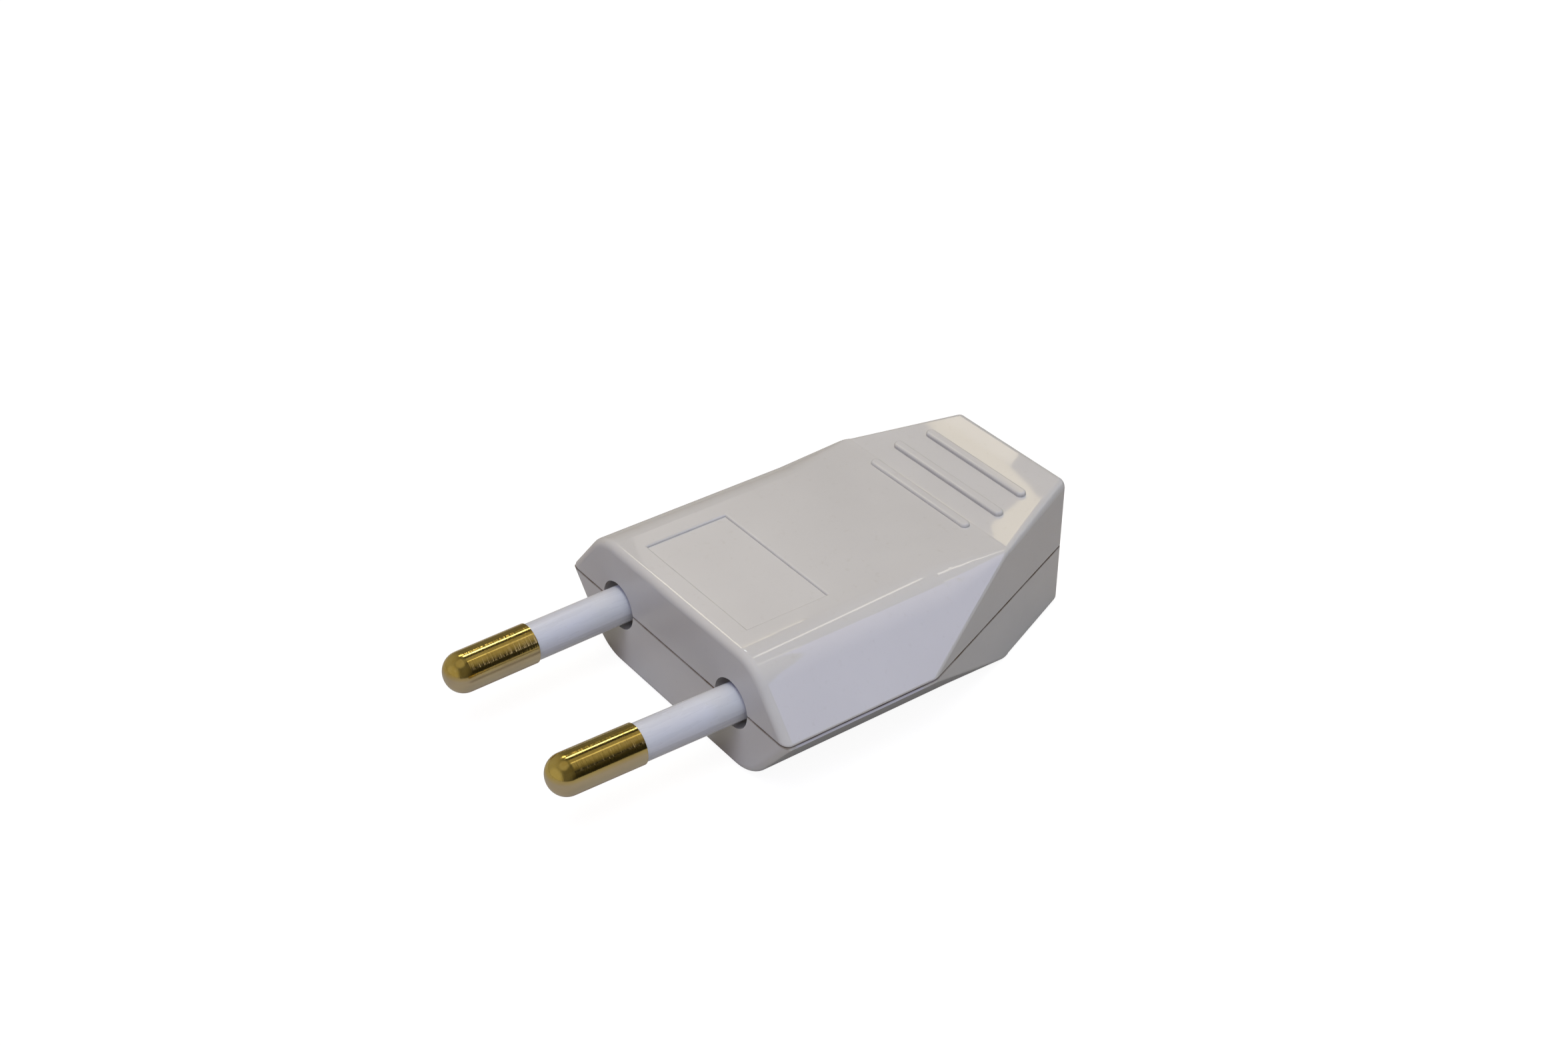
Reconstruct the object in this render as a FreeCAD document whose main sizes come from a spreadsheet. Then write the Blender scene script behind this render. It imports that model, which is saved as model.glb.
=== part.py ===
"""Rewireable two-pin flat plug: two moulded shells, turned brass pins with insulating sleeves,
terminal screws, a cord clamp and one housing screw.

Frame in millimetres: the origin is the middle of the front (engagement) face on the parting plane,
+X runs across the two pins, +Y towards the cord end, +Z up. The pins point along -Y.
"""
import FreeCAD, Part
import Sketcher
import math
import os

# Driving dimensions, in millimetres and degrees.
SIZES = {
    # outer form of the housing
    "body_width": 35.7,
    "seam_step": 0.3,
    "body_length": 41.0,
    "rear_width": 16.0,
    "taper_start": 16.5,
    "upper_height": 6.4,
    "lower_height": 7.0,
    "top_width": 24.9,
    "bottom_width": 24.0,
    "rear_rise": 1.4,
    "corner_radius": 5.0,
    "corner_run": 22.0,
    "break_radius": 0.6,
    "rear_corner_radius": 1.0,
    "front_edge_radius": 0.8,
    "slant_edge_radius": 0.5,
    "rear_edge_radius": 0.6,
    "seam_edge_radius": 0.2,
    "seam_chamfer": 0.05,
    # finger grip and type panel on the upper shell
    "rib_length": 14.6,
    "middle_rib_length": 16.1,
    "rib_width": 1.0,
    "rib_height": 0.45,
    "rib_edge_radius": 0.25,
    "rib_pitch": 3.55,
    "rib_setback": 0.75,
    "panel_width": 16.2,
    "panel_length": 9.0,
    "panel_start": 2.7,
    "panel_depth": 0.25,
    "panel_edge_radius": 0.2,
    # hollow of the shells
    "front_wall": 2.0,
    "rear_wall": 2.0,
    "side_wall": 1.9,
    "roof": 2.0,
    "web": 1.5,
    "chamber_start": 14.5,
    "chamber_width": 21.2,
    "inlet_diameter": 7.2,
    "inlet_flare": 0.8,
    # contact pins and their sleeves
    "pin_spacing": 18.6,
    "pin_lean": 1.2,
    "pin_diameter": 4.0,
    "pin_length": 19.0,
    "pin_tip_radius": 1.9,
    "neck_diameter": 3.0,
    "sleeve_diameter": 3.68,
    "sleeve_length": 10.0,
    "sleeve_hole_diameter": 5.0,
    "collar_diameter": 6.8,
    "collar_thickness": 1.4,
    "terminal_diameter": 5.8,
    "terminal_length": 10.0,
    "wire_hole_diameter": 2.8,
    "wire_hole_depth": 7.0,
    # screws
    "terminal_screw_diameter": 2.9,
    "terminal_screw_length": 2.6,
    "terminal_screw_proud": 0.5,
    "terminal_screw_setback": 4.5,
    "screw_slot_width": 0.7,
    "screw_slot_depth": 0.8,
    "housing_screw_diameter": 2.9,
    "housing_screw_reach": 3.6,
    "housing_head_diameter": 5.8,
    "housing_head_height": 2.0,
    "housing_recess_depth": 3.0,
    "housing_screw_place": 21.0,
    "boss_wall": 1.6,
    "clamp_screw_diameter": 2.5,
    "clamp_screw_reach": 4.0,
    "clamp_head_diameter": 4.6,
    "clamp_head_height": 1.5,
    "clamp_screw_spacing": 11.2,
    # cord clamp
    "clamp_setback": 5.5,
    "clamp_width": 4.6,
    "clamp_length": 15.4,
    "clamp_thickness": 2.2,
    "clamp_ridge_width": 1.6,
    "clamp_ridge_height": 1.2,
    "clamp_edge_radius": 0.4,
    # locating pegs
    "peg_diameter": 1.8,
    "peg_height": 1.1,
    "peg_inset": 3.25,
    "peg_place": 8.0,
    # clearances
    "fit_clearance": 0.1,
    "thread_clearance": 0.05,
    "depth_clearance": 0.3,
}

doc = FreeCAD.newDocument("europlug")
sheet = doc.addObject("Spreadsheet::Sheet", "sizes")
for row, (alias, number) in enumerate(SIZES.items(), start=1):
    sheet.set(f"A{row}", alias)
    sheet.set(f"B{row}", str(number))
    sheet.setAlias(f"B{row}", alias)
doc.recompute()

TOLERANCE = 1e-4
OVERRUN = 5.0

# Expressions that several pieces share.
HALF_WIDTH = "sizes.body_width / 2"
HALF_REAR = "sizes.rear_width / 2"
TAPER = "((sizes.body_width - sizes.rear_width) / 2 / (sizes.body_length - sizes.taper_start))"
PIN_X = "sizes.pin_spacing / 2"
COLLAR_START = "(sizes.front_wall + sizes.fit_clearance)"
TERMINAL_START = f"({COLLAR_START} + sizes.collar_thickness)"
TERMINAL_END = f"({TERMINAL_START} + sizes.terminal_length)"
TERMINAL_SCREW_Y = f"({TERMINAL_END} - sizes.terminal_screw_setback)"
TERMINAL_SCREW_X = f"({PIN_X} + {TERMINAL_SCREW_Y} * sin(sizes.pin_lean * 1 deg))"
TERMINAL_SCREW_ALONG = f"{TERMINAL_SCREW_Y} * cos(sizes.pin_lean * 1 deg)"
TERMINAL_SCREW_TOP = "(sizes.terminal_diameter / 2 + sizes.terminal_screw_proud)"
CLAMP_SCREW_X = "sizes.clamp_screw_spacing / 2"
CLAMP_Y = "(sizes.body_length - sizes.rear_wall - sizes.clamp_setback)"
HEAD_SEAT = "(sizes.lower_height - sizes.housing_recess_depth)"
RISE_ANGLE = "atan(sizes.rear_rise / (sizes.body_length - {crease}))"


def size(alias):
    """Number held by one cell of the sheet."""
    return float(sheet.get(alias))


def vertex_place(flat_width):
    """Distance from the front at which the tapered side meets the edge of the flat top or bottom."""
    return f"(sizes.taper_start + (sizes.body_width - sizes.{flat_width}) / 2 / {TAPER})"


CREASE = vertex_place("top_width")


def origin_plane(body, role):
    return next(feature for feature in body.Origin.OriginFeatures if feature.Role == role)


def new_body(name):
    body = doc.addObject("PartDesign::Body", name)
    body.Label = name
    return body


def new_sketch(body, name, role, offset=None):
    """Sketch on one of the body's own planes, moved along the plane's normal by an expression."""
    sketch = body.newObject("Sketcher::SketchObject", name)
    sketch.AttachmentSupport = [(origin_plane(body, role), "")]
    sketch.MapMode = "FlatFace"
    if offset is not None:
        sketch.setExpression("AttachmentOffset.Base.z", offset)
    return sketch


def constrain(sketch, expression, *arguments):
    """Adds one dimension to a sketch and ties it to the sheet."""
    number = sketch.addConstraint(Sketcher.Constraint(*arguments))
    sketch.setExpression(f"Constraints[{number}]", expression)


def outline(sketch, corners):
    """Closed outline of straight lines whose corners are (x, y) pairs of expressions."""
    count = len(corners)
    spread = size("body_length")
    start = []
    for index in range(count):
        turn = 2 * math.pi * index / count
        start.append(FreeCAD.Vector(spread * math.cos(turn), spread * math.sin(turn), 0))
    lines = []
    for index in range(count):
        line = Part.LineSegment(start[index], start[(index + 1) % count])
        lines.append(sketch.addGeometry(line, False))
    for index in range(count):
        joint = Sketcher.Constraint("Coincident", lines[index], 2, lines[(index + 1) % count], 1)
        sketch.addConstraint(joint)
    for index, (across, along) in enumerate(corners):
        constrain(sketch, across, "DistanceX", -1, 1, lines[index], 1, start[index].x)
        constrain(sketch, along, "DistanceY", -1, 1, lines[index], 1, start[index].y)


def rectangle(sketch, left, right, low, high):
    outline(sketch, [(left, low), (right, low), (right, high), (left, high)])


def circle(sketch, across, along, diameter):
    """Circle whose centre is an (x, y) pair of expressions."""
    ring = sketch.addGeometry(Part.Circle(FreeCAD.Vector(3, 3, 0), FreeCAD.Vector(0, 0, 1), 1), False)
    constrain(sketch, across, "DistanceX", -1, 1, ring, 3, 3)
    constrain(sketch, along, "DistanceY", -1, 1, ring, 3, 3)
    constrain(sketch, diameter, "Diameter", ring, 2)


def slot(sketch, length, along, width):
    """Long hole across the middle line, with round ends."""
    half = 5.0
    radius = 0.5
    normal = FreeCAD.Vector(0, 0, 1)
    high_line = Part.LineSegment(FreeCAD.Vector(half, 1.5, 0), FreeCAD.Vector(-half, 1.5, 0))
    high = sketch.addGeometry(high_line, False)
    low_line = Part.LineSegment(FreeCAD.Vector(-half, 0.5, 0), FreeCAD.Vector(half, 0.5, 0))
    low = sketch.addGeometry(low_line, False)
    left_ring = Part.Circle(FreeCAD.Vector(-half, 1, 0), normal, radius)
    left = sketch.addGeometry(Part.ArcOfCircle(left_ring, math.pi / 2, 3 * math.pi / 2), False)
    right_ring = Part.Circle(FreeCAD.Vector(half, 1, 0), normal, radius)
    right = sketch.addGeometry(Part.ArcOfCircle(right_ring, -math.pi / 2, math.pi / 2), False)
    sketch.addConstraint([
        Sketcher.Constraint("Tangent", high, 2, left, 1),
        Sketcher.Constraint("Tangent", left, 2, low, 1),
        Sketcher.Constraint("Tangent", low, 2, right, 1),
        Sketcher.Constraint("Tangent", right, 2, high, 1),
        Sketcher.Constraint("Equal", left, right),
        Sketcher.Constraint("Symmetric", left, 3, right, 3, -2),
    ])
    constrain(sketch, f"{length} - {width}", "DistanceX", left, 3, right, 3, 2 * half)
    constrain(sketch, f"{width} / 2", "Radius", left, radius)
    constrain(sketch, along, "DistanceY", -1, 1, left, 3, 1)


def arch(sketch, width, height, flank, corner):
    """Outline of one shell across the plug: flat seam, leaning flanks, rounded corners, flat top.

    The width is that of the seam, and the flank's lean is its angle to the seam.
    """
    half = 16.0
    tall = 6.5
    radius = 0.8
    lean = math.radians(70)
    tangent = radius * math.tan(lean / 2)
    shoulder = half - tall / math.tan(lean)
    low = FreeCAD.Vector(shoulder + tangent * math.cos(lean), tall - tangent * math.sin(lean), 0)
    high = FreeCAD.Vector(shoulder - tangent, tall, 0)
    centre = FreeCAD.Vector(high.x, tall - radius, 0)
    first = math.pi / 2 - lean
    normal = FreeCAD.Vector(0, 0, 1)

    def mirrored(point):
        return FreeCAD.Vector(-point.x, point.y, 0)

    right_foot = FreeCAD.Vector(half, 0, 0)
    right_ring = Part.Circle(centre, normal, radius)
    left_ring = Part.Circle(mirrored(centre), normal, radius)
    seam = sketch.addGeometry(Part.LineSegment(mirrored(right_foot), right_foot), False)
    right = sketch.addGeometry(Part.LineSegment(right_foot, low), False)
    right_corner = sketch.addGeometry(Part.ArcOfCircle(right_ring, first, math.pi / 2), False)
    top = sketch.addGeometry(Part.LineSegment(high, mirrored(high)), False)
    left_corner = sketch.addGeometry(Part.ArcOfCircle(left_ring, math.pi / 2, math.pi - first), False)
    left = sketch.addGeometry(Part.LineSegment(mirrored(low), mirrored(right_foot)), False)
    sketch.addConstraint([
        Sketcher.Constraint("Coincident", seam, 2, right, 1),
        Sketcher.Constraint("Tangent", right, 2, right_corner, 1),
        Sketcher.Constraint("Tangent", right_corner, 2, top, 1),
        Sketcher.Constraint("Tangent", top, 2, left_corner, 1),
        Sketcher.Constraint("Tangent", left_corner, 2, left, 1),
        Sketcher.Constraint("Coincident", left, 2, seam, 1),
        Sketcher.Constraint("PointOnObject", seam, 1, -1),
        Sketcher.Constraint("Symmetric", seam, 1, seam, 2, -2),
        Sketcher.Constraint("Equal", right_corner, left_corner),
        Sketcher.Constraint("Symmetric", right, 2, left, 1, -2),
    ])
    constrain(sketch, width, "DistanceX", seam, 1, seam, 2, 2 * half)
    constrain(sketch, height, "DistanceY", -1, 1, top, 1, tall)
    constrain(sketch, corner, "Radius", right_corner, radius)
    constrain(sketch, f"180 deg - {flank}", "Angle", right, math.pi - lean)


def pad(body, name, sketch, length, reverse=False):
    feature = body.newObject("PartDesign::Pad", name)
    feature.Profile = sketch
    feature.Reversed = reverse
    feature.setExpression("Length", length)
    doc.recompute()
    return feature


def pocket(body, name, sketch, length=None, reverse=False):
    """Cuts a sketch into the body, by a length or right through."""
    before = body.Shape.Volume
    feature = body.newObject("PartDesign::Pocket", name)
    feature.Profile = sketch
    feature.Reversed = reverse
    if length is None:
        feature.Type = "ThroughAll"
    else:
        feature.setExpression("Length", length)
    doc.recompute()
    if body.Shape.Volume > before - TOLERANCE:
        raise RuntimeError(f"{name} cuts nothing")
    return feature


def loft(body, name, sections):
    feature = body.newObject("PartDesign::AdditiveLoft", name)
    feature.Profile = sections[0]
    feature.Sections = sections[1:]
    feature.Ruled = True
    doc.recompute()
    return feature


def turned(body, name, kind, sketch):
    """Solid or cut of revolution about the sketch's upright axis."""
    feature = body.newObject(f"PartDesign::{kind}", name)
    feature.Profile = sketch
    feature.ReferenceAxis = (sketch, ["V_Axis"])
    feature.Angle = 360
    doc.recompute()
    return feature


def mirror(body, name, originals):
    """Repeats features on the other side of the plug's middle plane."""
    feature = body.newObject("PartDesign::Mirrored", name)
    feature.Originals = originals
    feature.MirrorPlane = (origin_plane(body, "YZ_Plane"), [""])
    body.Tip = feature
    doc.recompute()
    return feature


def lies(edge, test):
    """True where both ends and the middle of an edge pass a test."""
    middle = edge.valueAt((edge.FirstParameter + edge.LastParameter) / 2)
    return test(middle) and all(test(vertex.Point) for vertex in edge.Vertexes)


def round_edges(body, name, radius, wanted):
    """Rounds the edges of the body's last feature for which wanted(edge) holds."""
    base = body.Tip
    names = [f"Edge{number}" for number, edge in enumerate(base.Shape.Edges, start=1) if wanted(edge)]
    feature = body.newObject("PartDesign::Fillet", name)
    feature.Base = (base, names)
    feature.setExpression("Radius", radius)
    doc.recompute()
    return feature


def bevel_edges(body, name, width, wanted):
    """Bevels the edges of the body's last feature for which wanted(edge) holds."""
    base = body.Tip
    names = [f"Edge{number}" for number, edge in enumerate(base.Shape.Edges, start=1) if wanted(edge)]
    feature = body.newObject("PartDesign::Chamfer", name)
    feature.Base = (base, names)
    feature.setExpression("Size", width)
    doc.recompute()
    return feature


def on_seam(point):
    return abs(point.z) < TOLERANCE


def on_front(point):
    return abs(point.y) < TOLERANCE


def on_rear(point):
    return abs(point.y - size("body_length")) < TOLERANCE


def on_taper(point):
    slope = (size("body_width") - size("rear_width")) / 2 / (size("body_length") - size("taper_start"))
    side = size("body_width") / 2 - (point.y - size("taper_start")) * slope
    return abs(abs(point.x) - side) < TOLERANCE


def is_seam_rim(body, edge):
    """True for an edge where the seam's flat meets the outside."""
    faces = body.Tip.Shape.ancestorsOfType(edge, Part.Face)
    flat = [face for face in faces if face.BoundBox.ZLength < TOLERANCE]
    return lies(edge, on_seam) and len(flat) == 1


def shell_form(body, height, flat_width, rise):
    """Outside of one shell, with the seam on z = 0 and the outside towards +z."""
    flank = f"atan(2 * sizes.{height} / (sizes.body_width - sizes.{flat_width}))"
    vertex = vertex_place(flat_width)
    full_width = "sizes.body_width"
    sections = []
    for name, place, corner in (
        ("front_section", "0", "sizes.corner_radius"),
        ("run_section", "sizes.corner_run", "sizes.corner_radius"),
        ("break_section", vertex, "sizes.break_radius"),
    ):
        sketch = new_sketch(body, name, "XZ_Plane", f"-({place})")
        arch(sketch, full_width, f"sizes.{height}", flank, corner)
        sections.append(sketch)
    loft(body, "front_form", sections)

    # The sides close in behind the break, and the corner rounding runs out at its upper end.
    plan = new_sketch(body, "taper_plan", "XY_Plane")
    beyond = f"sizes.body_length + {OVERRUN}"
    for side in ("", "-"):
        outline(plan, [
            (f"{side}{HALF_WIDTH}", "sizes.taper_start"),
            (f"{side}({HALF_WIDTH} + {OVERRUN})", "sizes.taper_start"),
            (f"{side}({HALF_WIDTH} + {OVERRUN})", beyond),
            (f"{side}({HALF_REAR} - {OVERRUN} * {TAPER})", beyond),
        ])
    pocket(body, "taper_cut", plan, reverse=True)

    def is_slant(edge):
        vertex_y = max(point.Point.y for point in body.Tip.Shape.Vertexes)
        ends_here = lies(edge, lambda point: abs(point.y - vertex_y) < TOLERANCE)
        return lies(edge, on_taper) and not lies(edge, on_seam) and not ends_here

    round_edges(body, "slant_rounding", "sizes.slant_edge_radius", is_slant)

    rear_sections = []
    for name, place, width, tall, corner in (
        ("grip_start", vertex, f"sizes.{flat_width}", f"sizes.{height}", "sizes.break_radius"),
        ("grip_end", "sizes.body_length", "sizes.rear_width", f"sizes.{height} + {rise}",
         "sizes.rear_corner_radius"),
    ):
        sketch = new_sketch(body, name, "XZ_Plane", f"-({place})")
        arch(sketch, width, tall, "90 deg", corner)
        rear_sections.append(sketch)
    loft(body, "rear_form", rear_sections)

    round_edges(body, "rear_rounding", "sizes.rear_edge_radius",
                lambda edge: lies(edge, on_rear) and not lies(edge, on_seam))
    round_edges(body, "front_rounding", "sizes.front_edge_radius",
                lambda edge: lies(edge, on_front) and not lies(edge, on_seam))


def hollow(body, height):
    """Wiring chamber, core between the pins, pin seats and cord inlet, all cut from the seam."""
    depth = f"sizes.{height} - sizes.roof"
    inner = f"({HALF_WIDTH} - sizes.side_wall)"
    half = "sizes.chamber_width / 2"
    bend = f"(sizes.taper_start + ({inner} - {half}) / {TAPER})"
    end = "(sizes.body_length - sizes.rear_wall)"
    narrow = f"({HALF_REAR} - sizes.side_wall + sizes.rear_wall * {TAPER})"
    chamber = new_sketch(body, "chamber_plan", "XY_Plane")
    outline(chamber, [
        (f"-{half}", "sizes.chamber_start"),
        (half, "sizes.chamber_start"),
        (half, bend),
        (narrow, end),
        (f"-{narrow}", end),
        (f"-{half}", bend),
    ])
    pocket(body, "chamber", chamber, depth, reverse=True)

    core = new_sketch(body, "core_plan", "XY_Plane")
    core_half = f"({PIN_X} - sizes.collar_diameter / 2 - sizes.web)"
    rectangle(core, f"-{core_half}", core_half, "sizes.front_wall", "sizes.chamber_start - sizes.web")
    pocket(body, "core", core, depth, reverse=True)

    inlet = new_sketch(body, "inlet_profile", "XY_Plane")
    bore = "sizes.inlet_diameter / 2"
    outline(inlet, [
        ("0", f"{end} - {OVERRUN}"),
        (bore, f"{end} - {OVERRUN}"),
        (bore, "sizes.body_length - sizes.inlet_flare"),
        (f"{bore} + sizes.inlet_flare", "sizes.body_length"),
        (f"{bore} + sizes.inlet_flare", f"sizes.body_length + {OVERRUN}"),
        ("0", f"sizes.body_length + {OVERRUN}"),
    ])
    turned(body, "inlet", "Groove", inlet)

    seat = new_sketch(body, "pin_seat_profile", "XY_Plane")
    seat.AttachmentOffset = FreeCAD.Placement(
        FreeCAD.Vector(), FreeCAD.Rotation(FreeCAD.Vector(0, 0, -1), size("pin_lean")))
    seat.setExpression("AttachmentOffset.Base.x", PIN_X)
    seat.setExpression("AttachmentOffset.Rotation.Angle", "sizes.pin_lean")
    hole = "sizes.sleeve_hole_diameter / 2"
    ledge = "sizes.collar_diameter / 2 + sizes.fit_clearance"
    cradle = "sizes.terminal_diameter / 2 + sizes.fit_clearance"
    outline(seat, [
        ("0", f"-{OVERRUN}"),
        (hole, f"-{OVERRUN}"),
        (hole, "sizes.front_wall"),
        (ledge, "sizes.front_wall"),
        (ledge, f"{TERMINAL_START} + sizes.fit_clearance"),
        (cradle, f"{TERMINAL_START} + sizes.fit_clearance"),
        (cradle, "sizes.chamber_start + sizes.fit_clearance"),
        ("0", "sizes.chamber_start + sizes.fit_clearance"),
    ])
    groove = turned(body, "pin_seat", "Groove", seat)
    mirror(body, "pin_seats", [groove])


def make_upper_shell():
    body = new_body("upper_shell")
    shell_form(body, "upper_height", "top_width", "sizes.rear_rise")
    round_edges(body, "seam_rounding", "sizes.seam_edge_radius", lambda edge: is_seam_rim(body, edge))

    # Three finger ribs: the first just ahead of the crease, the others on the rising grip.
    ribs = new_sketch(body, "rib_plan", "XY_Plane")
    ribs.AttachmentOffset = FreeCAD.Placement(
        FreeCAD.Vector(), FreeCAD.Rotation(FreeCAD.Vector(1, 0, 0), 5))
    ribs.setExpression("AttachmentOffset.Rotation.Angle", RISE_ANGLE.format(crease=CREASE))
    ribs.setExpression("AttachmentOffset.Base.y", CREASE)
    ribs.setExpression("AttachmentOffset.Base.z", "sizes.upper_height - sizes.rib_height")
    for number, length in enumerate(("rib_length", "middle_rib_length", "rib_length")):
        slot(ribs, f"sizes.{length}", f"{number} * sizes.rib_pitch - sizes.rib_setback",
             "sizes.rib_width")
    pad(body, "ribs", ribs, "2 * sizes.rib_height")

    def is_rib_top(edge):
        slope = math.tan(ribs.AttachmentOffset.Rotation.Angle)
        start = ribs.AttachmentOffset.Base

        def at_top(point):
            rise = (point.z - start.z - (point.y - start.y) * slope) * math.cos(math.atan(slope))
            return abs(rise - 2 * size("rib_height")) < TOLERANCE

        return lies(edge, at_top)

    round_edges(body, "rib_rounding", "sizes.rib_edge_radius", is_rib_top)

    # Shallow type panel near the front, with a soft rim.
    panel = new_sketch(body, "panel_plan", "XY_Plane", "sizes.upper_height")
    panel_half = "sizes.panel_width / 2"
    rectangle(panel, f"-{panel_half}", panel_half,
              "sizes.panel_start", "sizes.panel_start + sizes.panel_length")
    pocket(body, "panel", panel, "sizes.panel_depth")

    def at_panel_rim(point):
        level = abs(point.z - size("upper_height")) < TOLERANCE
        beside = abs(point.x) < size("panel_width") / 2 + TOLERANCE
        past = point.y - size("panel_start")
        return level and beside and -TOLERANCE < past < size("panel_length") + TOLERANCE

    round_edges(body, "panel_rounding", "sizes.panel_edge_radius",
                lambda edge: lies(edge, at_panel_rim))

    hollow(body, "upper_height")

    pillar = new_sketch(body, "boss_plan", "XY_Plane")
    circle(pillar, "0", "sizes.housing_screw_place",
           "sizes.housing_screw_diameter + 2 * sizes.boss_wall")
    pad(body, "boss", pillar, "sizes.upper_height - sizes.roof / 2")
    pilot = new_sketch(body, "pilot_plan", "XY_Plane")
    circle(pilot, "0", "sizes.housing_screw_place",
           "sizes.housing_screw_diameter + 2 * sizes.thread_clearance")
    pocket(body, "pilot", pilot, "sizes.housing_screw_reach + sizes.depth_clearance", reverse=True)

    access = new_sketch(body, "terminal_access_plan", "XY_Plane")
    for side in ("", "-"):
        circle(access, f"{side}{TERMINAL_SCREW_X}", TERMINAL_SCREW_ALONG,
               "sizes.terminal_screw_diameter + 4 * sizes.depth_clearance")
    pocket(body, "terminal_access", access, f"{TERMINAL_SCREW_TOP} + sizes.depth_clearance", reverse=True)

    sockets = new_sketch(body, "peg_socket_plan", "XY_Plane")
    for side in ("", "-"):
        circle(sockets, f"{side}({HALF_WIDTH} - sizes.peg_inset)", "sizes.peg_place",
               "sizes.peg_diameter + 2 * sizes.fit_clearance")
    pocket(body, "peg_sockets", sockets, "sizes.peg_height + sizes.depth_clearance", reverse=True)
    return body


def make_lower_shell():
    body = new_body("lower_shell")
    shell_form(body, "lower_height", "bottom_width", "0")

    # The flanks end in a narrow upright land beside the seam, just inside the upper shell's edge.
    trim = new_sketch(body, "land_plan", "XY_Plane")
    for side in ("", "-"):
        rectangle(trim, f"{side}({HALF_WIDTH} - sizes.seam_step)", f"{side}({HALF_WIDTH} + {OVERRUN})",
                  f"-{OVERRUN}", "sizes.body_length")
    pocket(body, "land", trim, reverse=True)
    bevel_edges(body, "seam_bevel", "sizes.seam_chamfer", lambda edge: is_seam_rim(body, edge))
    hollow(body, "lower_height")

    pillars = new_sketch(body, "pillar_plan", "XY_Plane")
    circle(pillars, "0", "sizes.housing_screw_place", "sizes.housing_head_diameter + sizes.boss_wall")
    for side in ("", "-"):
        circle(pillars, f"{side}{CLAMP_SCREW_X}", CLAMP_Y,
               "sizes.clamp_screw_diameter + 2 * sizes.boss_wall")
    pad(body, "pillars", pillars, "sizes.lower_height - sizes.roof / 2")

    pilots = new_sketch(body, "clamp_pilot_plan", "XY_Plane")
    for side in ("", "-"):
        circle(pilots, f"{side}{CLAMP_SCREW_X}", CLAMP_Y,
               "sizes.clamp_screw_diameter + 2 * sizes.thread_clearance")
    pocket(body, "clamp_pilots", pilots, "sizes.clamp_screw_reach + sizes.depth_clearance", reverse=True)

    through = new_sketch(body, "screw_hole_plan", "XY_Plane")
    circle(through, "0", "sizes.housing_screw_place",
           "sizes.housing_screw_diameter + 2 * sizes.fit_clearance")
    pocket(body, "screw_hole", through, reverse=True)
    recess = new_sketch(body, "screw_recess_plan", "XY_Plane", "sizes.lower_height")
    circle(recess, "0", "sizes.housing_screw_place",
           "sizes.housing_head_diameter + 4 * sizes.fit_clearance")
    pocket(body, "screw_recess", recess, "sizes.housing_recess_depth")

    pegs = new_sketch(body, "peg_plan", "XY_Plane", "sizes.web")
    for side in ("", "-"):
        circle(pegs, f"{side}({HALF_WIDTH} - sizes.peg_inset)", "sizes.peg_place", "sizes.peg_diameter")
    pad(body, "pegs", pegs, "sizes.web + sizes.peg_height", reverse=True)

    # The lower shell is drawn seam down, like the upper one, and turned over about the cord axis.
    body.Placement = FreeCAD.Placement(
        FreeCAD.Vector(), FreeCAD.Rotation(FreeCAD.Vector(0, 1, 0), 180))
    return body


def place_on_pin_axis(body, side):
    """Puts a turned piece on one pin's axis: the tips lean towards each other."""
    body.Placement = FreeCAD.Placement(
        FreeCAD.Vector(), FreeCAD.Rotation(FreeCAD.Vector(0, 0, -side), size("pin_lean")))
    body.setExpression("Placement.Base.x", f"{side} * {PIN_X}")
    body.setExpression("Placement.Rotation.Angle", "sizes.pin_lean")


def make_pin(name, side):
    """Turned pin: contact, neck under the sleeve, collar and terminal with wire hole."""
    body = new_body(name)
    profile = new_sketch(body, "pin_profile", "XY_Plane")
    contact = "sizes.pin_diameter / 2"
    neck = "sizes.neck_diameter / 2"
    collar = "sizes.collar_diameter / 2"
    terminal = "sizes.terminal_diameter / 2"
    wire = "sizes.wire_hole_diameter / 2"
    hole_end = f"{TERMINAL_END} - sizes.wire_hole_depth"
    outline(profile, [
        ("0", "-sizes.pin_length"),
        (contact, "-sizes.pin_length"),
        (contact, "-sizes.sleeve_length"),
        (neck, "-sizes.sleeve_length"),
        (neck, COLLAR_START),
        (collar, COLLAR_START),
        (collar, TERMINAL_START),
        (terminal, TERMINAL_START),
        (terminal, TERMINAL_END),
        (wire, TERMINAL_END),
        (wire, hole_end),
        ("0", f"{hole_end} - {wire} / 2"),
    ])
    turned(body, "pin_turning", "Revolution", profile)
    round_edges(body, "tip_rounding", "sizes.pin_tip_radius",
                lambda edge: lies(edge, lambda point: abs(point.y + size("pin_length")) < TOLERANCE))
    drill = new_sketch(body, "screw_drill_plan", "XY_Plane")
    circle(drill, "0", TERMINAL_SCREW_Y, "sizes.terminal_screw_diameter + 2 * sizes.thread_clearance")
    pocket(body, "screw_drill", drill, "sizes.terminal_diameter", reverse=True)
    place_on_pin_axis(body, side)
    return body


def make_sleeve(name, side):
    """Insulating tube on the pin's neck, from the contact's shoulder to the collar."""
    body = new_body(name)
    profile = new_sketch(body, "sleeve_profile", "XY_Plane")
    rectangle(profile, "sizes.neck_diameter / 2 + sizes.thread_clearance", "sizes.sleeve_diameter / 2",
              "-sizes.sleeve_length", COLLAR_START)
    turned(body, "sleeve_turning", "Revolution", profile)
    place_on_pin_axis(body, side)
    return body


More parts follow.
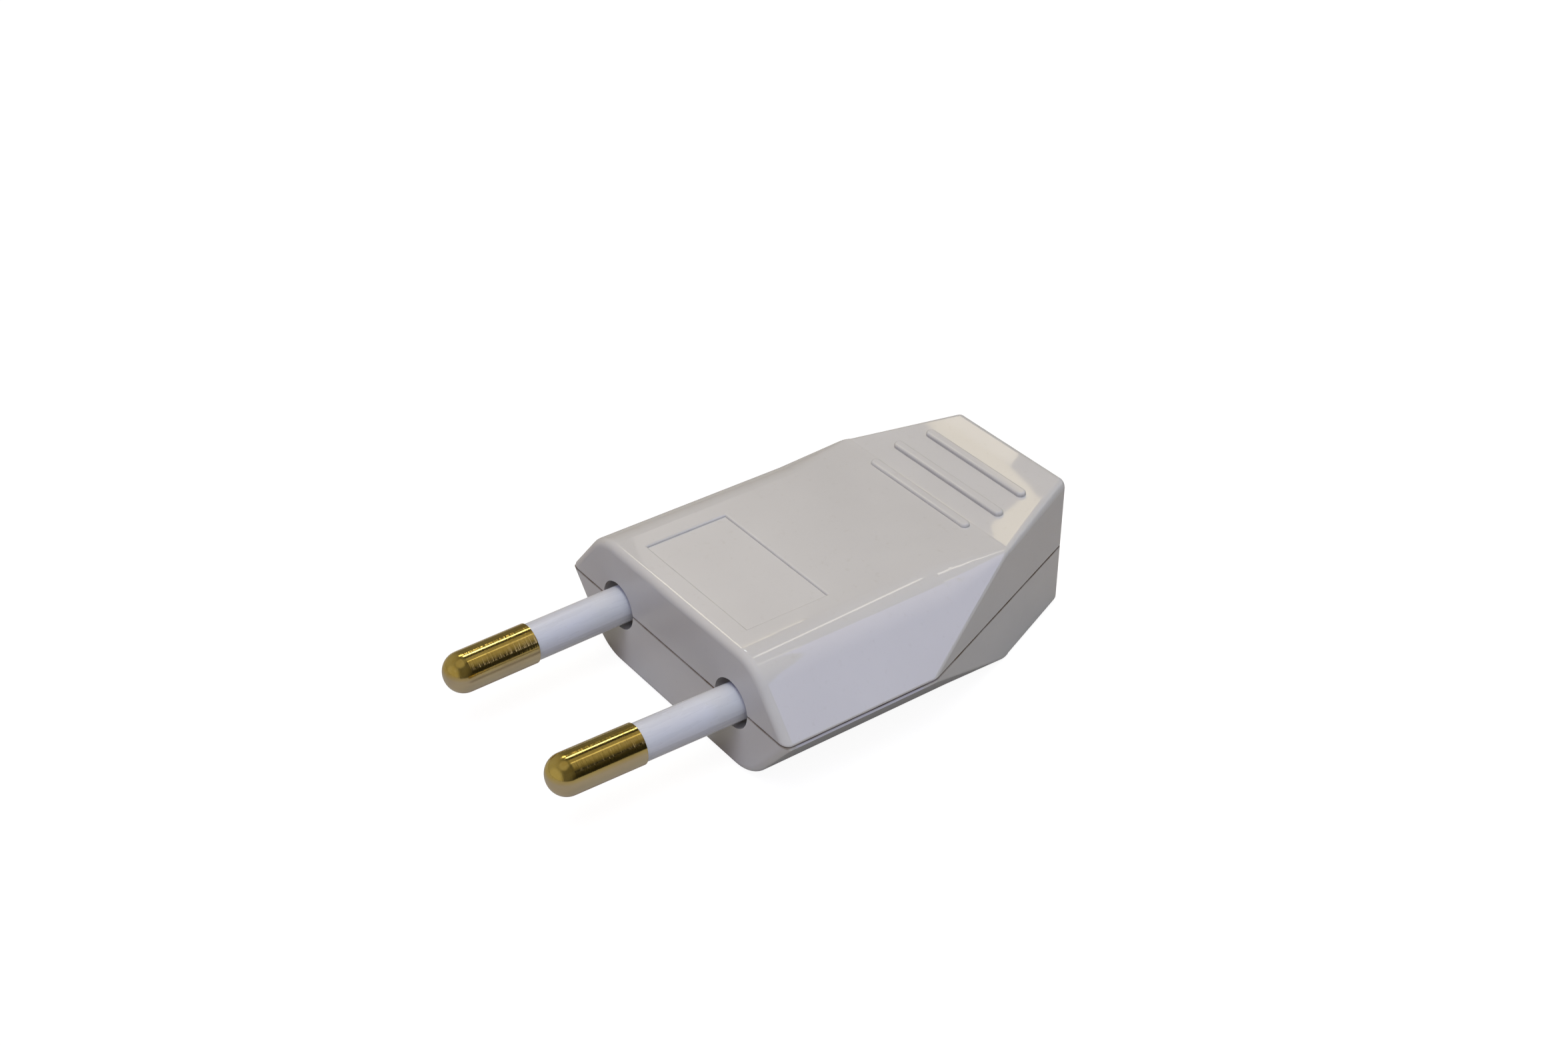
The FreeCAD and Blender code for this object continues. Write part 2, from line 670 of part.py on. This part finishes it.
def make_screw(name, shank, reach, head, head_height):
    """Slotted screw along z with its head's seat on z = 0; a screw without a head is a plain stud."""
    body = new_body(name)
    profile = new_sketch(body, "screw_profile", "XZ_Plane")
    foot = f"-({reach})"
    if head is None:
        rectangle(profile, "0", f"{shank} / 2", foot, "0")
        crown = "0"
    else:
        outline(profile, [
            ("0", foot),
            (f"{shank} / 2", foot),
            (f"{shank} / 2", "0"),
            (f"{head} / 2", "0"),
            (f"{head} / 2", head_height),
            ("0", head_height),
        ])
        crown = head_height
    turned(body, "screw_turning", "Revolution", profile)
    slot_plan = new_sketch(body, "slot_plan", "XY_Plane", crown)
    long_half = f"({head or shank} / 2 + {OVERRUN})"
    rectangle(slot_plan, f"-{long_half}", long_half,
              "-sizes.screw_slot_width / 2", "sizes.screw_slot_width / 2")
    pocket(body, "driver_slot", slot_plan, "sizes.screw_slot_depth")
    return body


def pair(name, body):
    """Two like pieces, one on each side of the middle plane, in one node."""
    other = doc.addObject("Part::Mirroring", f"{name}_mirrored")
    other.Source = body
    other.Base = FreeCAD.Vector()
    other.Normal = FreeCAD.Vector(1, 0, 0)
    group = doc.addObject("Part::Compound", name)
    group.Links = [body, other]
    group.Label = name
    return group


def make_terminal_screws():
    screw = make_screw("terminal_screw", "sizes.terminal_screw_diameter",
                       "sizes.terminal_screw_length", None, None)
    screw.setExpression("Placement.Base.x", TERMINAL_SCREW_X)
    screw.setExpression("Placement.Base.y", TERMINAL_SCREW_ALONG)
    screw.setExpression("Placement.Base.z", TERMINAL_SCREW_TOP)
    return pair("terminal_screws", screw)


def make_clamp_screws():
    screw = make_screw("cord_clamp_screw", "sizes.clamp_screw_diameter",
                       "sizes.clamp_screw_reach + sizes.clamp_thickness",
                       "sizes.clamp_head_diameter", "sizes.clamp_head_height")
    screw.setExpression("Placement.Base.x", CLAMP_SCREW_X)
    screw.setExpression("Placement.Base.y", CLAMP_Y)
    screw.setExpression("Placement.Base.z", "sizes.clamp_thickness")
    return pair("cord_clamp_screws", screw)


def make_housing_screw():
    """The screw that holds the shells together: its head lies in the recess of the lower shell."""
    body = make_screw("housing_screw", "sizes.housing_screw_diameter",
                      f"{HEAD_SEAT} + sizes.housing_screw_reach",
                      "sizes.housing_head_diameter", "sizes.housing_head_height")
    body.Placement = FreeCAD.Placement(
        FreeCAD.Vector(), FreeCAD.Rotation(FreeCAD.Vector(0, 1, 0), 180))
    body.setExpression("Placement.Base.y", "sizes.housing_screw_place")
    body.setExpression("Placement.Base.z", f"-{HEAD_SEAT}")
    return body


def make_cord_clamp():
    """Bar across the two pillars of the lower shell, with a biting ridge between them."""
    body = new_body("cord_clamp")
    bar = new_sketch(body, "bar_plan", "XY_Plane")
    half = "sizes.clamp_length / 2"
    rectangle(bar, f"-{half}", half, f"{CLAMP_Y} - sizes.clamp_width / 2",
              f"{CLAMP_Y} + sizes.clamp_width / 2")
    pad(body, "bar", bar, "sizes.clamp_thickness")
    round_edges(body, "bar_rounding", "sizes.clamp_edge_radius",
                lambda edge: not lies(edge, on_seam))
    ridge = new_sketch(body, "ridge_plan", "XY_Plane", "sizes.clamp_thickness / 2")
    pillar_half = "sizes.clamp_screw_diameter / 2 + sizes.boss_wall"
    ridge_half = f"({CLAMP_SCREW_X} - ({pillar_half}) - sizes.depth_clearance)"
    rectangle(ridge, f"-{ridge_half}", ridge_half, f"{CLAMP_Y} - sizes.clamp_ridge_width / 2",
              f"{CLAMP_Y} + sizes.clamp_ridge_width / 2")
    pad(body, "ridge", ridge, "sizes.clamp_thickness / 2 + sizes.clamp_ridge_height", reverse=True)
    holes = new_sketch(body, "hole_plan", "XY_Plane")
    for side in ("", "-"):
        circle(holes, f"{side}{CLAMP_SCREW_X}", CLAMP_Y,
               "sizes.clamp_screw_diameter + 2 * sizes.fit_clearance")
    pocket(body, "holes", holes, reverse=True)
    return body


pieces = [
    make_upper_shell(),
    make_lower_shell(),
    make_pin("left_pin", -1),
    make_pin("right_pin", 1),
    make_sleeve("left_pin_sleeve", -1),
    make_sleeve("right_pin_sleeve", 1),
    make_terminal_screws(),
    make_cord_clamp(),
    make_clamp_screws(),
    make_housing_screw(),
]
doc.recompute()

for item in doc.Objects:
    if "Invalid" in item.State or "Error" in item.State:
        raise RuntimeError(f"{item.Label} failed: {item.State}")
for piece in pieces:
    if piece.Shape.isNull() or not piece.Shape.isValid():
        raise RuntimeError(f"{piece.Label} has no valid shape")

os.makedirs("parts", exist_ok=True)
for piece in pieces:
    piece.Shape.exportStep(f"parts/{piece.Label}.step")
    box = piece.Shape.BoundBox
    print(f"{piece.Label}: {len(piece.Shape.Solids)} solid(s), {piece.Shape.Volume:.1f} mm3, "
          f"x {box.XMin:.2f}..{box.XMax:.2f} y {box.YMin:.2f}..{box.YMax:.2f} "
          f"z {box.ZMin:.2f}..{box.ZMax:.2f}")
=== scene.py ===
import math
import bpy
import bmesh
from mathutils import Euler, Matrix, Vector


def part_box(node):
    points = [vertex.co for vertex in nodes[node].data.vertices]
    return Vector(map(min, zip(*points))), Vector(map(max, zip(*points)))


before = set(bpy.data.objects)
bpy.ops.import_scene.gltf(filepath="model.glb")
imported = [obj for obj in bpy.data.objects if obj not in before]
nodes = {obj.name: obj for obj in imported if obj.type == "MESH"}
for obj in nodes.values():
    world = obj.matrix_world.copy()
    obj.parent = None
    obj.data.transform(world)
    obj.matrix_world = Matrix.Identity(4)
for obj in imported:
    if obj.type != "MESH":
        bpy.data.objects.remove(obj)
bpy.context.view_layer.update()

# Camera: place in metres, turn in degrees, focal length in millimetres.
EYE = Vector((0.140067, -0.090588, 0.125838))
EYE_TURN = (56.2367, -0.1247, 53.6667)
LENS = 51.658

# Soft fillet of the crease in front of the grip: its place along the plug, half its width and the change of slope.
CREASE_AT = 0.02973
CREASE_REACH = 0.0004
CREASE_SLOPE = 0.1242
CREASE_FLOOR = (0.0055, 0.006)

# Narrow land under the seam: its height, its lean and where along the plug it starts and ends.
LAND_HEIGHT = 0.0005
LAND_LEAN = 0.8
LAND_START = (0.0004, 0.0012)
LAND_END = (0.0155, 0.0165)

# Table: a hair below the plug. Its tone as it lights the plug, in gloss and as seen, and how much it glows.
TABLE_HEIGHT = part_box("lower_shell")[0].z - 0.00002
TABLE_RADIUS = 2.0
TABLE_BOUNCE = (0.61, 0.592, 0.555)
TABLE_IN_GLOSS = (0.36, 0.355, 0.35)
TABLE_SHADE = (0.13, 0.13, 0.13)
TABLE_SHOWN = 0.94
TABLE_MIRRORED = 0.08
TABLE_FADE = (0.4, 1.2)

# Room: its dark level and colour, and its lit walls. Each wall has a direction, how near to that direction it starts
# and is full, and its brightness.
ROOM_DARK = 0.015
ROOM_COLOUR = (1.0, 0.95, 0.86)
ROOM_WALLS = (
    ((-0.75, -0.60, 0.25), 0.10, 0.95, 0.35),
    ((-0.10, -0.97, 0.10), 0.45, 0.90, 0.45),
    ((0.00, -0.25, 0.97), 0.80, 0.97, 0.40),
    ((0.50, -0.50, 0.70), 0.35, 0.90, 0.14),
)

# Glowing cards that show in gloss and metal: name, corners, brightness, colour, and the axis and range of a fade.
GLOW_CARDS = (
    ("lamp_strip", (((-0.3990, 0.2828, 0.3904), (-0.4003, 0.2936, 0.3870)),
                    ((-0.3574, 0.2923, 0.4085), (-0.3559, 0.2959, 0.4081))), 2.6, (1.0, 0.84, 0.48), None),
    ("lamp_end", (((-0.3581, 0.2758, 0.4127), (-0.3569, 0.2949, 0.4080)),
                  ((-0.3465, 0.2709, 0.4197), (-0.3483, 0.2970, 0.4115))), 2.6, (1.0, 0.84, 0.48), None),
    ("crease_strip", (((-0.420, 0.284, 0.384), (-0.420, 0.306, 0.370)),
                      ((-0.350, 0.284, 0.384), (-0.350, 0.306, 0.370))), 3.0, (1.0, 0.88, 0.62), None),
    ("corner_strip", (((-0.114, 0.280, 0.527), (-0.211, 0.337, 0.457)),
                      ((-0.079, 0.280, 0.534), (-0.175, 0.337, 0.473))), 4.0, (1.0, 0.93, 0.78), None),
    ("edge_strip", (((-0.432, 0.073, 0.417), (-0.414, 0.187, 0.399)),
                    ((-0.372, 0.073, 0.471), (-0.360, 0.187, 0.448))), 4.5, (1.0, 0.90, 0.70), None),
    ("pin_strip", (((-0.307, 0.136, 0.493), (-0.300, 0.238, 0.454)),
                   ((-0.258, 0.136, 0.520), (-0.252, 0.238, 0.483))), 6.4, (0.95, 1.0, 1.0), None),
    ("pin_glow", (((-0.120, 0.136, 0.570), (-0.120, 0.238, 0.533)),
                  ((0.480, 0.136, 0.322), (0.480, 0.238, 0.260))), 0.36, (1.0, 0.92, 0.78), ("X", 0.20, 0.46)),
    ("pin_line", (((0.050, 0.136, 0.470), (0.050, 0.238, 0.430)),
                  ((0.080, 0.136, 0.464), (0.080, 0.238, 0.424))), 1.5, (1.0, 0.95, 0.80), None),
    ("ceiling_glow", (((-0.444, 0.258, 0.309), (-0.420, 0.335, 0.287)),
                      ((-0.390, 0.258, 0.375), (-0.370, 0.335, 0.354))), 0.8, (1.0, 0.93, 0.85), ("Y", 0.265, 0.325)),
    ("cool_window", (((0.087, 0.262, 0.543), (0.087, 0.352, 0.491)),
                     ((0.490, 0.262, 0.267), (0.459, 0.352, 0.219))), 2.0, (0.48, 0.50, 1.0), None),
    ("rear_window", (((0.000, 0.590, 0.210), (0.000, 0.500, 0.390)),
                     ((0.240, 0.540, 0.210), (0.240, 0.450, 0.390))), 0.8, (0.95, 0.95, 1.0), None),
)

# Square lamps that face the plug from one distance: name, direction, brightness as seen, and colour.
LAMP_TARGET = Vector((0.0, 0.012, 0.004))
LAMP_DISTANCE = 0.7
LAMP_SIZE = 0.36
SOFT_LAMPS = (
    ("key_softbox", (0.219, -0.219, 0.951), 6.8, (0.93, 1.0, 0.97)),
    ("back_softbox", (-0.219, 0.219, 0.951), 0.8, (1.0, 0.97, 0.62)),
    ("cool_softbox", (0.30, -0.60, 0.74), 3.0, (0.72, 0.66, 1.0)),
    ("warm_softbox", (-0.53, 0.0, 0.848), 1.9, (1.0, 0.55, 0.10)),
    ("low_softbox", (0.612, 0.612, 0.5), 0.6, (1.0, 0.82, 0.2)),
)


# ---------------------------------------------------------------- finish helpers

class Finish:
    """One procedural finish: a principled shader with its own small set of nodes."""

    def __init__(self, name):
        self.material = bpy.data.materials.new(name)
        self.material.use_nodes = True
        self.tree = self.material.node_tree
        self.shader = self.tree.nodes["Principled BSDF"]
        self.place = self.tree.nodes.new("ShaderNodeTexCoord").outputs["Object"]

    def add(self, kind, **settings):
        node = self.tree.nodes.new(kind)
        for key, value in settings.items():
            setattr(node, key, value)
        return node

    def join(self, output, target):
        self.tree.links.new(output, target)

    def stretched(self, scale, turn=(0.0, 0.0, 0.0)):
        """Object coordinates stretched along the axes of the piece."""
        node = self.add("ShaderNodeMapping")
        node.inputs["Scale"].default_value = scale
        node.inputs["Rotation"].default_value = turn
        self.join(self.place, node.inputs["Vector"])
        return node.outputs["Vector"]

    def mottle(self, scale, detail=3.0, rough=0.5, place=None):
        """Soft noise, from 0 to 1."""
        node = self.add("ShaderNodeTexNoise")
        node.inputs["Scale"].default_value = scale
        node.inputs["Detail"].default_value = detail
        node.inputs["Roughness"].default_value = rough
        self.join(place or self.place, node.inputs["Vector"])
        return node.outputs["Fac"]

    def spread(self, value, low, high, start, end):
        """Maps value from low..high to start..end and holds the ends."""
        node = self.add("ShaderNodeMapRange")
        for key, number in zip(("From Min", "From Max", "To Min", "To Max"), (low, high, start, end)):
            node.inputs[key].default_value = number
        self.join(value, node.inputs["Value"])
        return node.outputs["Result"]

    def sum(self, kind, a, b):
        """One step of arithmetic on two values, each an output or a number."""
        node = self.add("ShaderNodeMath", operation=kind)
        for socket, value in zip(node.inputs, (a, b)):
            if isinstance(value, (int, float)):
                socket.default_value = value
            else:
                self.join(value, socket)
        return node.outputs["Value"]

    def tint(self, share, first, second):
        """Blends two colours, each an output or a plain colour, by share."""
        node = self.add("ShaderNodeMix", data_type="RGBA")
        self.join(share, node.inputs["Factor"])
        for socket, value in zip((node.inputs[6], node.inputs[7]), (first, second)):
            if isinstance(value, tuple):
                socket.default_value = (*value, 1.0)
            else:
                self.join(value, socket)
        return node.outputs[2]

    def relief(self, height, strength, depth, under=None):
        """Bump from a height, in metres of depth."""
        node = self.add("ShaderNodeBump")
        if isinstance(strength, float):
            node.inputs["Strength"].default_value = strength
        else:
            self.join(strength, node.inputs["Strength"])
        node.inputs["Distance"].default_value = depth
        self.join(height, node.inputs["Height"])
        if under is not None:
            self.join(under, node.inputs["Normal"])
        return node.outputs["Normal"]

    def axis(self, letter):
        """One object coordinate."""
        node = self.add("ShaderNodeSeparateXYZ")
        self.join(self.place, node.inputs["Vector"])
        return node.outputs[letter]


def dress(material, *names):
    """Gives the named nodes one finish."""
    for name in names:
        data = nodes[name].data
        data.materials.clear()
        data.materials.append(material)


# ---------------------------------------------------------------- finishes

def white_housing_plastic():
    """Glossy white moulding: faint flow clouds, fine orange peel, hairline scuffs and painted shade in the parting
    line.
    """
    look = Finish("white_housing_plastic")
    clouds = look.mottle(70.0, 4.0, 0.55)
    speck = look.mottle(1500.0, 2.0, 0.6)
    body = look.tint(look.spread(clouds, 0.3, 0.7, 0.0, 1.0), (0.585, 0.579, 0.572), (0.617, 0.612, 0.606))
    body = look.tint(look.spread(speck, 0.62, 0.78, 0.0, 0.25), body, (0.50, 0.48, 0.45))
    # Painted shade: a thin dark brown line along the parting line, where the gap between the shells lies in shadow,
    # broken up by noise.
    height = look.sum("ABSOLUTE", look.axis("Z"), 0.0)
    streak = look.mottle(260.0, 3.0, 0.6)
    line = look.spread(height, 0.00002, 0.00016, 1.0, 0.0)
    parting_line_shade = look.sum("MULTIPLY", line, look.spread(streak, 0.25, 0.65, 0.45, 1.0))
    body = look.tint(parting_line_shade, body, (0.13, 0.085, 0.05))
    look.join(body, look.shader.inputs["Base Color"])
    scuff = look.mottle(1.0, 3.0, 0.6, look.stretched((2600.0, 260.0, 900.0), (0.0, 0.0, 0.6)))
    gloss = look.sum("ADD", look.spread(clouds, 0.3, 0.7, 0.020, 0.035), look.spread(scuff, 0.62, 0.80, 0.0, 0.05))
    look.join(gloss, look.shader.inputs["Roughness"])
    peel = look.mottle(520.0, 2.0, 0.5)
    normal = look.relief(peel, 0.03, 0.000012)
    normal = look.relief(scuff, 0.015, 0.000004, normal)
    ahead = look.sum("ABSOLUTE", look.sum("SUBTRACT", look.axis("Y"), CREASE_AT), 0.0)
    fillet = look.sum("POWER", look.spread(ahead, 0.0, CREASE_REACH, 1.0, 0.0), 2.0)
    fillet = look.sum("MULTIPLY", fillet, look.spread(look.axis("Z"), *CREASE_FLOOR, 0.0, 1.0))
    normal = look.relief(fillet, 1.0, CREASE_SLOPE * CREASE_REACH / 4.0, normal)
    land = look.spread(look.axis("Z"), -LAND_HEIGHT, 0.0, 1.0, 0.0)
    sides = look.sum("MULTIPLY", look.spread(look.axis("Y"), *LAND_START, 0.0, 1.0),
                     look.spread(look.axis("Y"), *LAND_END, 1.0, 0.0))
    look.join(look.relief(land, sides, LAND_LEAN * LAND_HEIGHT, normal), look.shader.inputs["Normal"])
    look.shader.inputs["IOR"].default_value = 1.5
    return look.material


def cool_sleeve_plastic():
    """Cool white insulating tube with a fine grain along its length and a little dust."""
    look = Finish("cool_sleeve_plastic")
    grain = look.mottle(1.0, 3.0, 0.55, look.stretched((1500.0, 160.0, 1500.0)))
    dust = look.mottle(2600.0, 2.0, 0.6)
    body = look.tint(look.spread(grain, 0.3, 0.7, 0.0, 1.0), (0.608, 0.632, 0.702), (0.630, 0.653, 0.720))
    body = look.tint(look.spread(dust, 0.64, 0.80, 0.0, 0.35), body, (0.50, 0.49, 0.50))
    look.join(body, look.shader.inputs["Base Color"])
    look.join(look.spread(grain, 0.3, 0.7, 0.22, 0.34), look.shader.inputs["Roughness"])
    normal = look.relief(grain, 0.08, 0.00001)
    look.join(look.relief(dust, 0.15, 0.000008, normal), look.shader.inputs["Normal"])
    look.shader.inputs["IOR"].default_value = 1.48
    return look.material


def polished_brass():
    """Turned and polished brass rod: fine turning rings, draw marks along the pin, a little tarnish."""
    look = Finish("polished_brass")
    draw = look.mottle(1.0, 4.0, 0.6, look.stretched((3200.0, 60.0, 3200.0)))
    rings = look.mottle(1.0, 3.0, 0.6, look.stretched((500.0, 4200.0, 500.0)))
    tarnish = look.mottle(420.0, 4.0, 0.6)
    body = look.tint(look.spread(tarnish, 0.35, 0.75, 0.0, 1.0), (0.74, 0.55, 0.14), (0.60, 0.41, 0.09))
    body = look.tint(look.spread(draw, 0.35, 0.65, 0.0, 0.4), body, (0.78, 0.61, 0.21))
    # Painted reflection of the pale table: the brass turns paler and greyer towards the underside of the pin.
    painted_table_reflection = look.spread(look.axis("Z"), 0.0002, 0.0008, 0.65, 0.0)
    body = look.tint(painted_table_reflection, body, (0.63, 0.56, 0.46))
    look.join(body, look.shader.inputs["Base Color"])
    look.shader.inputs["Metallic"].default_value = 1.0
    gloss = look.sum("ADD", look.spread(draw, 0.3, 0.7, 0.09, 0.15), look.spread(tarnish, 0.5, 0.8, 0.0, 0.08))
    look.join(gloss, look.shader.inputs["Roughness"])
    normal = look.relief(rings, 0.9, 0.000014)
    look.join(look.relief(draw, 0.25, 0.000005, normal), look.shader.inputs["Normal"])
    return look.material


def plated_screw_steel():
    """Zinc-plated steel with turning marks and cloudy plating."""
    look = Finish("plated_screw_steel")
    turning = look.mottle(1.0, 3.0, 0.5, look.stretched((500.0, 500.0, 5000.0)))
    plating = look.mottle(600.0, 4.0, 0.6)
    body = look.tint(look.spread(plating, 0.3, 0.7, 0.0, 1.0), (0.56, 0.56, 0.57), (0.68, 0.68, 0.66))
    look.join(body, look.shader.inputs["Base Color"])
    look.shader.inputs["Metallic"].default_value = 1.0
    look.join(look.spread(turning, 0.3, 0.7, 0.22, 0.42), look.shader.inputs["Roughness"])
    look.join(look.relief(turning, 0.3, 0.00001), look.shader.inputs["Normal"])
    return look.material


def dull_clamp_plastic():
    """Matte insulating bar with a sandy moulded skin."""
    look = Finish("dull_clamp_plastic")
    clouds = look.mottle(150.0, 3.0, 0.5)
    sand = look.mottle(3200.0, 2.0, 0.6)
    body = look.tint(look.spread(clouds, 0.3, 0.7, 0.0, 1.0), (0.60, 0.60, 0.58), (0.68, 0.68, 0.66))
    look.join(body, look.shader.inputs["Base Color"])
    look.join(look.spread(sand, 0.3, 0.7, 0.45, 0.62), look.shader.inputs["Roughness"])
    look.join(look.relief(sand, 0.4, 0.00002), look.shader.inputs["Normal"])
    return look.material


dress(white_housing_plastic(), "upper_shell", "lower_shell")
dress(cool_sleeve_plastic(), "left_pin_sleeve", "right_pin_sleeve")
dress(polished_brass(), "left_pin", "right_pin")
dress(plated_screw_steel(), "terminal_screws", "cord_clamp_screws", "housing_screw")
dress(dull_clamp_plastic(), "cord_clamp")


# ---------------------------------------------------------------- table and light

def flat_piece(name, shape, material):
    """Turns a flat shape into a piece of the studio, which is no part of the plug."""
    data = bpy.data.meshes.new(name)
    shape.to_mesh(data)
    shape.free()
    data.materials.append(material)
    piece = bpy.data.objects.new(name, data)
    bpy.context.scene.collection.objects.link(piece)
    return piece


def pale_table():
    """A wide pale table top. It shows as white, with the plug's shadow on it, and mirrors as pale."""
    look = Finish("table_white")
    path = look.add("ShaderNodeLightPath")
    seen = look.sum("MAXIMUM", path.outputs["Is Camera Ray"], path.outputs["Is Transmission Ray"])
    tone = look.tint(path.outputs["Is Glossy Ray"], TABLE_BOUNCE, TABLE_IN_GLOSS)
    look.join(look.tint(seen, tone, TABLE_SHADE), look.shader.inputs["Base Color"])
    look.shader.inputs["Roughness"].default_value = 0.9
    look.shader.inputs["Specular IOR Level"].default_value = 0.0
    look.shader.inputs["Emission Color"].default_value = (1.0, 1.0, 1.0, 1.0)
    mirrored = look.sum("MULTIPLY", path.outputs["Is Glossy Ray"], TABLE_MIRRORED)
    away = look.add("ShaderNodeVectorMath", operation="LENGTH")
    look.join(look.place, away.inputs[0])
    shown = look.sum("MULTIPLY", seen, look.spread(away.outputs["Value"], *TABLE_FADE, TABLE_SHOWN, 1.0))
    look.join(look.sum("MAXIMUM", shown, mirrored), look.shader.inputs["Emission Strength"])
    shape = bmesh.new()
    bmesh.ops.create_circle(shape, cap_ends=True, segments=96, radius=TABLE_RADIUS)
    bmesh.ops.translate(shape, verts=shape.verts, vec=(0.0, 0.0, TABLE_HEIGHT))
    flat_piece("table_top", shape, look.material)


def glow_card(name, corners, level, colour, fade):
    """A lamp with four given corners that shows in gloss and metal. It can fade out along one axis."""
    look = Finish(name + "_glow")
    look.shader.inputs["Base Color"].default_value = (0.0, 0.0, 0.0, 1.0)
    look.shader.inputs["Specular IOR Level"].default_value = 0.0
    look.shader.inputs["Emission Color"].default_value = (*colour, 1.0)
    if fade is None:
        look.shader.inputs["Emission Strength"].default_value = level
    else:
        look.join(look.spread(look.axis(fade[0]), *fade[1:], level, 0.0), look.shader.inputs["Emission Strength"])
    shape = bmesh.new()
    bmesh.ops.create_grid(shape, x_segments=1, y_segments=1, size=1.0)
    for corner in shape.verts:
        corner.co = corners[corner.co.x > 0.0][corner.co.y > 0.0]
    card = flat_piece(name, shape, look.material)
    card.visible_camera = False
    card.visible_shadow = False


def soft_lamp(name, aim, level, colour):
    """A square lamp that faces the plug from the direction aim and lights it without showing in its gloss."""
    data = bpy.data.lights.new(name, "AREA")
    data.shape = "RECTANGLE"
    data.size = data.size_y = LAMP_SIZE
    data.color = colour
    data.energy = level * math.pi * LAMP_SIZE * LAMP_SIZE
    lamp = bpy.data.objects.new(name, data)
    direction = Vector(aim).normalized()
    facing = direction.to_track_quat("Z", "Y").to_matrix().to_4x4()
    lamp.matrix_world = Matrix.Translation(LAMP_TARGET + direction * LAMP_DISTANCE) @ facing
    lamp.visible_glossy = False
    bpy.context.scene.collection.objects.link(lamp)


def room_light():
    """The room as gloss and metal mirror it: dark, with softly lit walls. It shows as white."""
    world = bpy.data.worlds.new("room")
    bpy.context.scene.world = world
    world.use_nodes = True
    tree = world.node_tree
    sight = tree.nodes.new("ShaderNodeTexCoord").outputs["Generated"]

    def lit_wall(towards, low, high, level):
        """Brightens the room softly in one direction."""
        side = tree.nodes.new("ShaderNodeVectorMath")
        side.operation = "DOT_PRODUCT"
        side.inputs[1].default_value = towards
        tree.links.new(sight, side.inputs[0])
        ramp = tree.nodes.new("ShaderNodeMapRange")
        ramp.interpolation_type = "SMOOTHSTEP"
        for key, number in zip(("From Min", "From Max", "To Min", "To Max"), (low, high, ROOM_DARK, level)):
            ramp.inputs[key].default_value = number
        tree.links.new(side.outputs["Value"], ramp.inputs["Value"])
        return ramp.outputs["Result"]

    def larger(first, second):
        """The larger of two values."""
        node = tree.nodes.new("ShaderNodeMath")
        node.operation = "MAXIMUM"
        tree.links.new(first, node.inputs[0])
        tree.links.new(second, node.inputs[1])
        return node.outputs["Value"]

    path = tree.nodes.new("ShaderNodeLightPath")
    seen = larger(path.outputs["Is Camera Ray"], path.outputs["Is Transmission Ray"])
    strength = seen
    for wall in ROOM_WALLS:
        strength = larger(strength, lit_wall(*wall))
    shade = tree.nodes.new("ShaderNodeMix")
    shade.data_type = "RGBA"
    shade.inputs[6].default_value = (*ROOM_COLOUR, 1.0)
    shade.inputs[7].default_value = (1.0, 1.0, 1.0, 1.0)
    tree.links.new(seen, shade.inputs["Factor"])
    background = tree.nodes["Background"]
    tree.links.new(shade.outputs[2], background.inputs["Color"])
    tree.links.new(strength, background.inputs["Strength"])
    world.cycles_visibility.diffuse = False


pale_table()
room_light()
for card in GLOW_CARDS:
    glow_card(*card)
for lamp in SOFT_LAMPS:
    soft_lamp(*lamp)


# ---------------------------------------------------------------- camera

def eye():
    """The camera, at the photograph's view."""
    data = bpy.data.cameras.new("eye")
    data.lens = LENS
    data.sensor_width = 36.0
    data.clip_start = 0.01
    data.clip_end = 10.0
    camera = bpy.data.objects.new("eye", data)
    camera.location = EYE
    camera.rotation_euler = Euler([math.radians(a) for a in EYE_TURN])
    bpy.context.scene.collection.objects.link(camera)
    bpy.context.scene.camera = camera


eye()
bpy.context.scene.view_settings.view_transform = "Standard"
